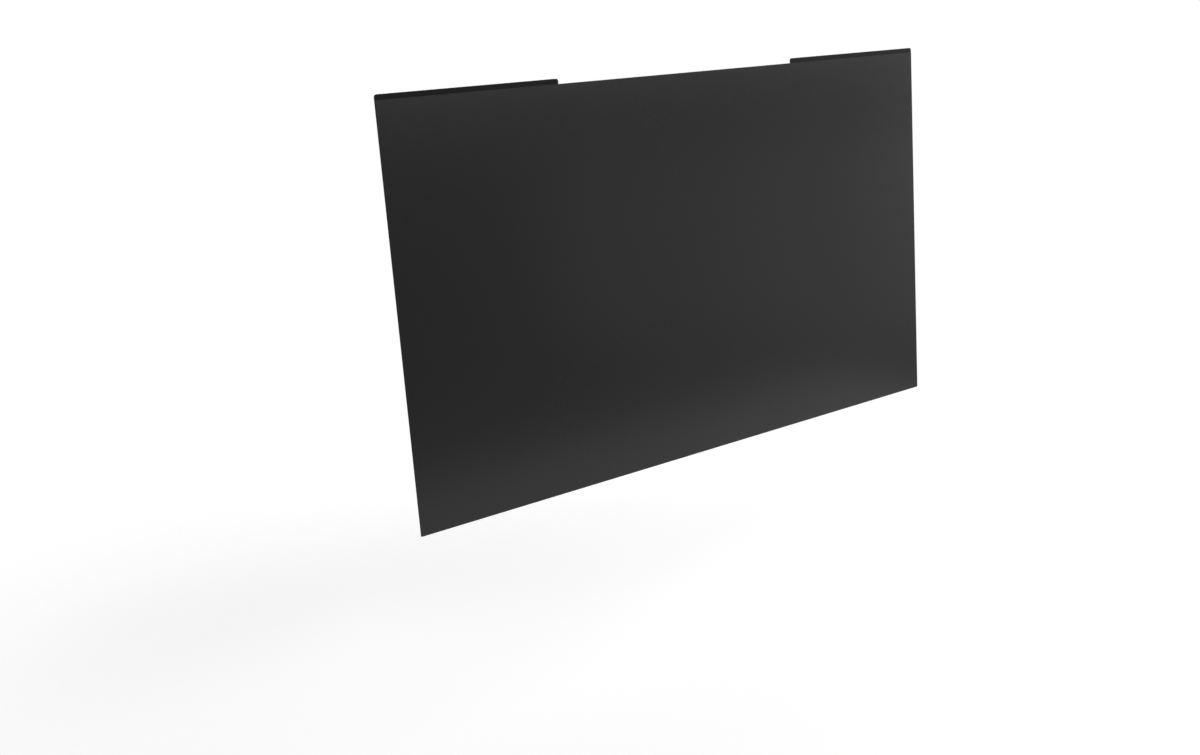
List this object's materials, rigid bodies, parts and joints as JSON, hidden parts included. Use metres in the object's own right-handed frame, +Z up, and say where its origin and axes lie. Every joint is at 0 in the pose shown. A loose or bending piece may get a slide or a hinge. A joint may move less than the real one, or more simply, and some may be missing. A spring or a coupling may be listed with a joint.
{
  "type": "monitor privacy filter",
  "caption": "Dark rectangular louvre film that narrows a widescreen monitor's viewing angle, with slim black magnetic strips at the ends of its top edge that hold it to the bezel.",
  "frame": {"origin": "middle of the sheet's bottom edge, halfway through the strips' thickness", "axes": "+X to the right as seen by the person at the screen, +Y to the back, towards the screen, +Z up along the sheet"},
  "size_m": [0.597, 0.0012, 0.3443],
  "materials": {
    "smoked_film": "smoked film, satin front and back, slightly see-through",
    "strip_black": "black moulded plastic, satin",
    "magnet_band": "dark ferrite-filled rubber, matte",
    "bonding_tape": "clear acrylic tape, slightly milky"
  },
  "bodies": {
    "root": {"privacy_sheet": "smoked_film", "left_strip": "strip_black", "right_strip": "strip_black", "left_magnet": "magnet_band", "right_magnet": "magnet_band", "left_bonding_tape": "bonding_tape", "right_bonding_tape": "bonding_tape"}
  },
  "joints": []
}
